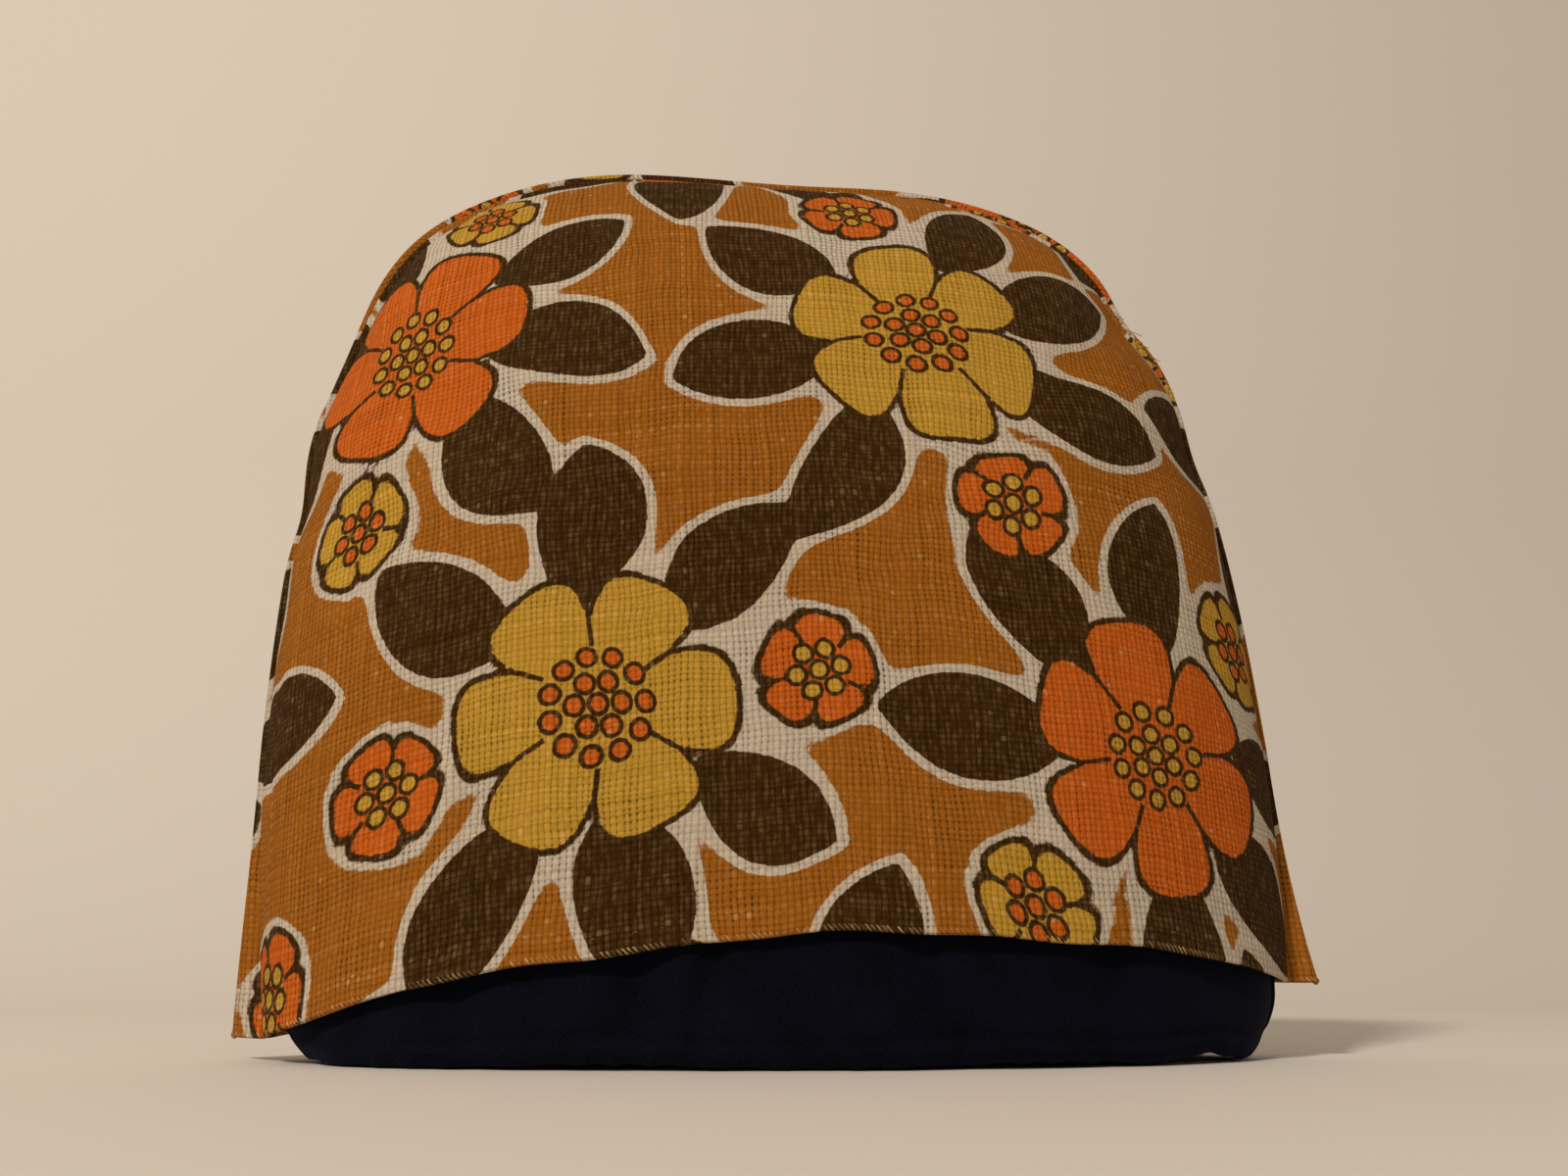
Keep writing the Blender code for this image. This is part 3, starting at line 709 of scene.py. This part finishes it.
away = add_node(cloth, "VectorMath", {0: flower_xy}, operation="LENGTH")["Value"]
angle = add_node(cloth, "Math", {0: flower_axes[1], 1: flower_axes[0]}, operation="ARCTAN2")[0]

# Dark lines part the petals, down to the flower's heart.
PARTING_MM = 0.70
petal_turn = add_node(cloth, "Math", {0: angle, 1: half_petal}, operation="PINGPONG")[0]
petal_turn = add_node(cloth, "Math", {0: half_petal, 1: petal_turn}, operation="SUBTRACT")[0]
petal_turn = add_node(cloth, "Math", {0: petal_turn}, operation="SINE")[0]
parting = add_node(cloth, "Math", {0: petal_turn, 1: away}, operation="MULTIPLY")[0]
parting = add_node(cloth, "Math", {0: PARTING_MM, 1: parting}, operation="SUBTRACT")[0]
blade = add_node(cloth, "Math", {0: petal_mm, 1: parting}, operation="MAXIMUM")[0]
blade = add_node(cloth, "Math", {0: blade, 1: heart_mm}, operation="MINIMUM")[0]

# Dots in the heart: one in the middle, a ring of 6, and on a flower a second ring of 11.
DOT_RINGS = ((6, 6.2), (11, 12.6))
OUT_OF_BUD_MM, DOT_ROOM_MM = 20.0, 1.5
dot = away
for dots, ring_radius in DOT_RINGS:
    turn = add_node(cloth, "Math", {0: angle, 1: math.pi / dots}, operation="PINGPONG")[0]
    side_way = add_node(cloth, "Math", {0: turn}, operation="SINE")[0]
    side_way = add_node(cloth, "Math", {0: side_way, 1: away}, operation="MULTIPLY")[0]
    out_way = add_node(cloth, "Math", {0: turn}, operation="COSINE")[0]
    out_way = add_node(
        cloth, "Math", {0: out_way, 1: away, 2: -ring_radius}, operation="MULTIPLY_ADD"
    )[0]
    reach = add_node(cloth, "CombineXYZ", {0: side_way, 1: out_way})[0]
    reach = add_node(cloth, "VectorMath", {0: reach}, operation="LENGTH")["Value"]
    if ring_radius > BUD_HEART:
        moved_off = add_node(
            cloth, "Math", {0: is_flower, 1: -OUT_OF_BUD_MM, 2: OUT_OF_BUD_MM}, operation="MULTIPLY_ADD"
        )[0]
        reach = add_node(cloth, "Math", {0: reach, 1: moved_off}, operation="ADD")[0]
    dot = add_node(cloth, "Math", {0: dot, 1: reach}, operation="MINIMUM")[0]
near_heart = add_node(cloth, "Math", {0: heart_mm, 1: DOT_ROOM_MM}, operation="ADD")[0]
dot = add_node(cloth, "Math", {0: dot, 1: near_heart}, operation="MAXIMUM")[0]

# The inks, laid one over another where the cloth is inside their shapes.
OCHRE, CREAM, BROWN = linear("935713"), linear("baac99"), linear("382205")
YELLOW, ORANGE = linear("b2882e"), linear("b95714")
MARGIN_MM, OUTLINE_MM, DOT_RIM_MM, DOT_MM = 2.4, 1.2, 3.1, 1.9
INK_BLEED_MM = 0.30
ink = add_node(cloth, "RGB")[0]
ink.default_value = OCHRE
petal_ink = add_node(cloth, "Mix", {0: tint, 6: YELLOW, 7: ORANGE}, data_type="RGBA")[2]
dot_ink = add_node(cloth, "Mix", {0: tint, 6: ORANGE, 7: YELLOW}, data_type="RGBA")[2]
for distance, edge, colour in (
    (margin_mm, MARGIN_MM, CREAM),
    (leaf_mm, 0.0, BROWN),
    (petal_mm, OUTLINE_MM, BROWN),
    (blade, 0.0, petal_ink),
    (dot, DOT_RIM_MM, BROWN),
    (dot, DOT_MM, dot_ink),
):
    depth = add_node(cloth, "Math", {0: edge, 1: distance}, operation="SUBTRACT")[0]
    depth = add_node(cloth, "Math", {0: depth, 1: jag}, operation="ADD")[0]
    bleed = {0: depth, 1: 1 / INK_BLEED_MM, 2: 0.5}
    covered = add_node(cloth, "Math", bleed, operation="MULTIPLY_ADD", use_clamp=True)[0]
    ink = add_node(cloth, "Mix", {0: covered, 6: ink, 7: colour}, data_type="RGBA")[2]

# Bare fibre shows where the ink missed a crossing, where it is worn thin on a slub, on the odd
# thread that is spun thicker and makes a long pale line, and over the cut edge inside the hem.
MISSED_FROM, MISSED_SHOWS, SLUB_SHOWS = 0.993, 0.30, 0.30
THICK_FROM, THICK_SHOWS = 0.972, 0.22
HEM_WEAR_MM, HEM_WEAR_HALF_MM, HEM_WEAR_SHOWS = 5.0, 1.1, 0.55
bare_and_highlight = add_node(cloth, "Math", {0: chance, 1: MISSED_FROM}, operation="GREATER_THAN")[0]
bare_and_highlight = add_node(cloth, "Math", {0: bare_and_highlight, 1: MISSED_SHOWS}, operation="MULTIPLY")[0]
slub_range = {"From Min": 0.60, "From Max": 0.82, "To Min": 0.0, "To Max": SLUB_SHOWS}
slub_wear = add_node(cloth, "MapRange", {"Value": slub, **slub_range})[0]
thick_threads = []
for place in places:
    thread = add_node(cloth, "Math", {0: place}, operation="FLOOR")[0]
    picked = add_node(cloth, "TexWhiteNoise", {"W": thread}, noise_dimensions="1D")["Value"]
    picked = add_node(cloth, "Math", {0: picked, 1: THICK_FROM}, operation="GREATER_THAN")[0]
    thick_threads.append(picked)
thick_mix = {0: over, 2: thick_threads[1], 3: thick_threads[0]}
thick = add_node(cloth, "Mix", thick_mix, data_type="FLOAT")[0]
thick_range = {"From Min": 0.36, "From Max": 0.60, "To Min": 0.0, "To Max": THICK_SHOWS}
thick_length = add_node(cloth, "MapRange", {"Value": slub, **thick_range})[0]
thick = add_node(cloth, "Math", {0: thick, 1: thick_length}, operation="MULTIPLY")[0]
hem_wear = add_node(
    cloth, "Math", {0: cloth_xy[1], 1: HEM_WEAR_MM, 2: HEM_WEAR_HALF_MM}, operation="COMPARE"
)[0]
for factor in (over, openness, chance, HEM_WEAR_SHOWS):
    hem_wear = add_node(cloth, "Math", {0: hem_wear, 1: factor}, operation="MULTIPLY")[0]
for pale_mark in (slub_wear, thick, hem_wear):
    bare_and_highlight = add_node(cloth, "Math", {0: bare_and_highlight, 1: pale_mark}, operation="MAXIMUM")[0]
# The darkest ink lies thickest, so that less shows through it.
DARK_SHOWS, LIGHT_ADDS = 0.42, 4.0
thin_ink = add_node(cloth, "RGBToBW", {0: ink})[0]
thin_ink = {0: thin_ink, 1: LIGHT_ADDS, 2: DARK_SHOWS}
thin_ink = add_node(cloth, "Math", thin_ink, operation="MULTIPLY_ADD", use_clamp=True)[0]
for factor in (thin_ink, tuft):
    bare_and_highlight = add_node(cloth, "Math", {0: bare_and_highlight, 1: factor}, operation="MULTIPLY")[0]

# The tops of the threads are painted paler, in upright dashes a few crossings long: partly fibre rubbed
# bare, partly a painted highlight where light catches the raised tops.
DASH_STRETCH, DASH_SHOWS = (1.0, 0.35, 0.0), 0.13
dash = add_node(cloth, "VectorMath", {0: threads, 1: DASH_STRETCH}, operation="MULTIPLY")[0]
dash = add_node(cloth, "TexNoise", {"Vector": dash, "Scale": 1.1, "Detail": 2.0})["Fac"]
dash_range = {"From Min": 0.42, "From Max": 0.74, "To Min": 0.0, "To Max": DASH_SHOWS}
dash = add_node(cloth, "MapRange", {"Value": dash, **dash_range})[0]
rubbed_and_highlight = add_node(cloth, "Math", {0: tuft, 1: dash}, operation="MULTIPLY")[0]

# Slanting ticks of bare fibre run along the hem's fold.
TICK_MM, TICK_HALF_MM, TICK_SLANT, TICK_SHOWS = 1.3, 0.26, 0.8, 0.85
FOLD_MM, FOLD_HALF_MM = -0.2, 1.0
slant = add_node(
    cloth, "Math", {0: cloth_xy[1], 1: TICK_SLANT, 2: cloth_xy[0]}, operation="MULTIPLY_ADD"
)[0]
tick_count = add_node(cloth, "Math", {0: slant, 1: 1 / TICK_MM, 2: 0.5}, operation="MULTIPLY_ADD")[0]
tick_count = add_node(cloth, "Math", {0: tick_count}, operation="FLOOR")[0]
tick_chance = add_node(cloth, "TexWhiteNoise", {"W": tick_count}, noise_dimensions="1D")["Value"]
slant = add_node(cloth, "Math", {0: slant, 1: TICK_MM / 2}, operation="PINGPONG")[0]
tick = add_node(cloth, "Math", {0: slant, 1: TICK_HALF_MM}, operation="LESS_THAN")[0]
fold = add_node(cloth, "Math", {0: cloth_xy[1], 1: FOLD_MM, 2: FOLD_HALF_MM}, operation="COMPARE")[0]
for factor in (fold, openness, tick_chance, TICK_SHOWS):
    tick = add_node(cloth, "Math", {0: tick, 1: factor}, operation="MULTIPLY")[0]
for pale_mark in (rubbed_and_highlight, tick):
    bare_and_highlight = add_node(cloth, "Math", {0: bare_and_highlight, 1: pale_mark}, operation="MAXIMUM")[0]
# The bare fibre colour, which also paints the highlight on the thread tops.
ink = add_node(cloth, "Mix", {0: bare_and_highlight, 6: ink, 7: linear("d9b882")}, data_type="RGBA")[2]

# The wrong side: raw linen, with the print showing through it.
RAW_SHOWS = 0.45
wrong_side = add_node(cloth, "Attribute", attribute_name="wrong_side")["Fac"]
wrong_side = add_node(cloth, "Math", {0: wrong_side, 1: RAW_SHOWS}, operation="MULTIPLY")[0]
ink = add_node(cloth, "Mix", {0: wrong_side, 6: ink, 7: linear("a08a68")}, data_type="RGBA")[2]

# The threads tint the ink: thick ones are a little paler. Painted shade darkens the gaps between
# the threads, and most of all the pinholes where they cross, which are taller than they are wide.
WARP_SHADE, WEFT_SHADE, SLUB_LIGHT, BASE_LIGHT = 0.28, 0.09, 0.72, 0.72
gap_shades = []
for ridge, narrowness in ((warp, 2.0), (weft, 1.0)):
    gap_shade = add_node(cloth, "Math", {0: 1.0, 1: ridge}, operation="SUBTRACT")[0]
    gap_shades.append(add_node(cloth, "Math", {0: gap_shade, 1: narrowness}, operation="POWER")[0])
pinhole_shade = add_node(cloth, "Math", {0: gap_shades[0], 1: gap_shades[1]}, operation="MULTIPLY")[0]
pinhole_shade = add_node(cloth, "Math", {0: pinhole_shade, 1: openness}, operation="MULTIPLY")[0]
shade = BASE_LIGHT
for light, amount in ((gap_shades[0], -WARP_SHADE), (gap_shades[1], -WEFT_SHADE), (slub, SLUB_LIGHT)):
    shade = add_node(cloth, "Math", {0: light, 1: amount, 2: shade}, operation="MULTIPLY_ADD")[0]
shade = add_node(cloth, "Math", {0: shade, 1: pinhole_shade}, operation="SUBTRACT")[0]
grain = add_node(cloth, "Math", {0: mottle, 1: 0.36, 2: 0.82}, operation="MULTIPLY_ADD")[0]
shade = add_node(cloth, "Math", {0: shade, 1: grain}, operation="MULTIPLY")[0]
ink = add_node(cloth, "VectorMath", {0: ink, "Scale": shade}, operation="SCALE")[0]
height = add_node(cloth, "Math", {0: mottle, 1: 0.20, 2: tuft}, operation="MULTIPLY_ADD")[0]
relief = add_node(cloth, "Bump", {"Height": height, "Strength": 0.40, "Distance": 0.0005})[0]
cloth.node_tree.links.new(ink, linen["Base Color"])
cloth.node_tree.links.new(relief, linen["Normal"])
linen["Roughness"].default_value = 0.95
linen["Specular IOR Level"].default_value = 0.08

for panel, node, pad in (
    (cover_front, "cover_front", liner_front),
    (cover_back, "cover_back", liner_back),
):
    panel.data.materials.append(cloth)
    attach(panel, "root")
    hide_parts(node)

# ---- The frayed threads ------------------------------------------------------------------------
# High on the right the seam has pulled, and a few cut ends of warp and weft stick out of it: loose
# linen yarn, printed yellow where it was the cloth's face and raw where it was not.

FRAY_RADIUS, FRAY_SIDES, FRAY_STEPS, FRAY_TAPER = 0.00034, 6, 7, 0.93
FRAY_ROOT, FRAY_FORWARD, FRAY_DROOP, FRAY_CURVE = 0.0010, 0.0006, 0.35, 1.6
# Each end: place along the seam in degrees round the D, length, lean along the seam, droop.
FRAYED_ENDS = (
    (47.0, 0.0042, -0.5, 0.3),
    (46.1, 0.0058, 0.3, 0.6),
    (45.4, 0.0036, -0.2, 0.1),
    (44.9, 0.0064, 0.7, 0.5),
    (44.2, 0.0050, -0.6, 0.7),
    (43.6, 0.0038, 0.4, 0.2),
    (43.1, 0.0060, 0.1, 0.8),
    (42.3, 0.0045, 0.8, 0.4),
    (41.5, 0.0033, -0.3, 0.5),
)


def frayed_end(degrees, length, lean, droop):
    """A disc drawn out into a thin, bent and tapering yarn that starts inside the seam."""
    bpy.ops.object.select_all(action="DESELECT")
    bpy.ops.mesh.primitive_circle_add(vertices=FRAY_SIDES, radius=FRAY_RADIUS, fill_type="NGON")
    yarn = bpy.context.object
    bpy.ops.object.mode_set(mode="EDIT")
    step = (0.0, 0.0, length / FRAY_STEPS)
    for _ in range(FRAY_STEPS):
        bpy.ops.mesh.extrude_region_move(TRANSFORM_OT_translate={"value": step})
        bpy.ops.transform.resize(value=(FRAY_TAPER, FRAY_TAPER, 1.0))
    bpy.ops.mesh.select_all(action="SELECT")
    bpy.ops.mesh.normals_make_consistent(inside=False)
    bpy.ops.object.mode_set(mode="OBJECT")
    px, py, pz = read_points(yarn)
    angle = np.full_like(px, math.radians(degrees))
    outline = squared_length(np.cos(angle), np.sin(angle))
    across, up = np.cos(angle) / outline, np.sin(angle) / outline
    out_x, out_z = seam_normal(across, up)
    seam_z = FORM_HEIGHT * up
    seam_x = form_half_width(seam_z) * across
    bent = pz / length
    outwards = FRAY_ROOT + pz * (1.0 - FRAY_DROOP * bent * droop)
    along = px + length * lean * bent**FRAY_CURVE
    x = seam_x + out_x * outwards + out_z * along
    z = seam_z + out_z * outwards - out_x * along - FRAY_DROOP * length * droop * bent**2
    x, y, z = slouched(x, py - FRAY_FORWARD, z)
    write_points(yarn, x + form_shift[0], y + form_shift[1], z)
    return yarn


yarns = [frayed_end(*row) for row in FRAYED_ENDS]
bpy.ops.object.select_all(action="DESELECT")
for yarn in yarns:
    yarn.select_set(True)
bpy.context.view_layer.objects.active = yarns[0]
bpy.ops.object.join()
frayed_threads = bpy.context.object
frayed_threads.name = frayed_threads.data.name = "frayed_threads"
frayed_threads.data.shade_smooth()

# Loose flax yarn: hairy and matt, dyed unevenly by the print.
loose_yarn, yarn = new_material("loose_linen_yarn")
yarn_place = add_node(loose_yarn, "TexCoord")["Object"]
dye = add_node(loose_yarn, "TexNoise", {"Vector": yarn_place, "Scale": 900.0, "Detail": 2.0})["Fac"]
dye = add_node(loose_yarn, "MapRange", {"Value": dye, "From Min": 0.40, "From Max": 0.60})[0]
dyed = add_node(loose_yarn, "Mix", {0: dye, 6: linear("c9b48a"), 7: YELLOW}, data_type="RGBA")[2]
loose_yarn.node_tree.links.new(dyed, yarn["Base Color"])
yarn["Roughness"].default_value = 0.9
yarn["Specular IOR Level"].default_value = 0.1
frayed_threads.data.materials.append(loose_yarn)
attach(frayed_threads, "root")

# ---- The room ----------------------------------------------------------------------------------
# A pale, warm table top that curves up behind, one soft lamp to the left of the camera and above
# it, and an even light from all round.

FLOOR_HALF_WIDTH, FLOOR_FRONT, FLOOR_BACK = 3.0, -3.0, 1.1
WALL_HEIGHT, WALL_BEND, WALL_BEND_STEPS = 2.4, 0.6, 16
bpy.ops.object.select_all(action="DESELECT")
bpy.ops.mesh.primitive_plane_add(size=1.0)
backdrop = bpy.context.object
backdrop.name = "table"
bpy.ops.object.mode_set(mode="EDIT")
bpy.ops.transform.resize(value=(2 * FLOOR_HALF_WIDTH, FLOOR_BACK - FLOOR_FRONT, 1.0))
bpy.ops.transform.translate(value=(0.0, (FLOOR_BACK + FLOOR_FRONT) / 2, 0.0))
bpy.ops.object.mode_set(mode="OBJECT")
for face in backdrop.data.polygons:
    face.select = False
for vert in backdrop.data.vertices:
    vert.select = vert.co.y > (FLOOR_FRONT + FLOOR_BACK) / 2
for edge in backdrop.data.edges:
    edge.select = all(backdrop.data.vertices[end].select for end in edge.vertices)
bpy.ops.object.mode_set(mode="EDIT")
bpy.ops.mesh.select_mode(type="EDGE")
bpy.ops.mesh.extrude_region_move(TRANSFORM_OT_translate={"value": (0.0, 0.0, WALL_HEIGHT)})
bpy.ops.object.mode_set(mode="OBJECT")
bend = backdrop.modifiers.new("bend", "BEVEL")
bend.width = WALL_BEND
bend.segments = WALL_BEND_STEPS
bend.angle_limit = math.radians(60)
apply_modifiers(backdrop)
backdrop.data.shade_smooth()
table_paint, table = new_material("matt_table_paint")
table["Base Color"].default_value = linear("dfd7cd")
table["Roughness"].default_value = 0.75
table["Specular IOR Level"].default_value = 0.25
backdrop.data.materials.append(table_paint)

LAMP_PLACE, LAMP_AIM = (-1.5, -2.0, 2.1), (0.0, 0.1, 0.12)
LAMP_SIZE, LAMP_WATTS, ROOM_LIGHT = 0.50, 67.5, 0.371
towards = [aim - place for aim, place in zip(LAMP_AIM, LAMP_PLACE)]
lamp_tilt = math.pi / 2 - math.atan2(-towards[2], math.hypot(*towards[:2]))
lamp_turn = math.atan2(-towards[0], towards[1])
bpy.ops.object.light_add(type="AREA", location=LAMP_PLACE, rotation=(lamp_tilt, 0.0, lamp_turn))
lamp = bpy.context.object
lamp.name = "soft_lamp"
lamp.data.shape = "DISK"
lamp.data.size = LAMP_SIZE
lamp.data.energy = LAMP_WATTS
lamp.data.color = linear("fff6ea")[:3]
world = bpy.data.worlds.new("room_light")
world.use_nodes = True
sky = world.node_tree.nodes["Background"].inputs
sky["Color"].default_value = linear("f8eada")
sky["Strength"].default_value = ROOM_LIGHT
bpy.context.scene.world = world

CAMERA_DISTANCE, CAMERA_AZIMUTH, CAMERA_ELEVATION = 0.40, -4.0, -16.0
AIM_HEIGHT, LENS_MM, SENSOR_MM = 0.132, 31.0, 36.0
azimuth, elevation = math.radians(CAMERA_AZIMUTH), math.radians(CAMERA_ELEVATION)
bpy.ops.object.camera_add(
    location=(
        CAMERA_DISTANCE * math.cos(elevation) * math.sin(azimuth),
        -CAMERA_DISTANCE * math.cos(elevation) * math.cos(azimuth),
        AIM_HEIGHT + CAMERA_DISTANCE * math.sin(elevation),
    ),
    rotation=(math.pi / 2 - elevation, 0.0, azimuth),
)
camera = bpy.context.object
camera.data.lens = LENS_MM
camera.data.sensor_width = SENSOR_MM
camera.data.clip_start = 0.01
bpy.context.scene.camera = camera
bpy.context.scene.view_settings.view_transform = "Standard"
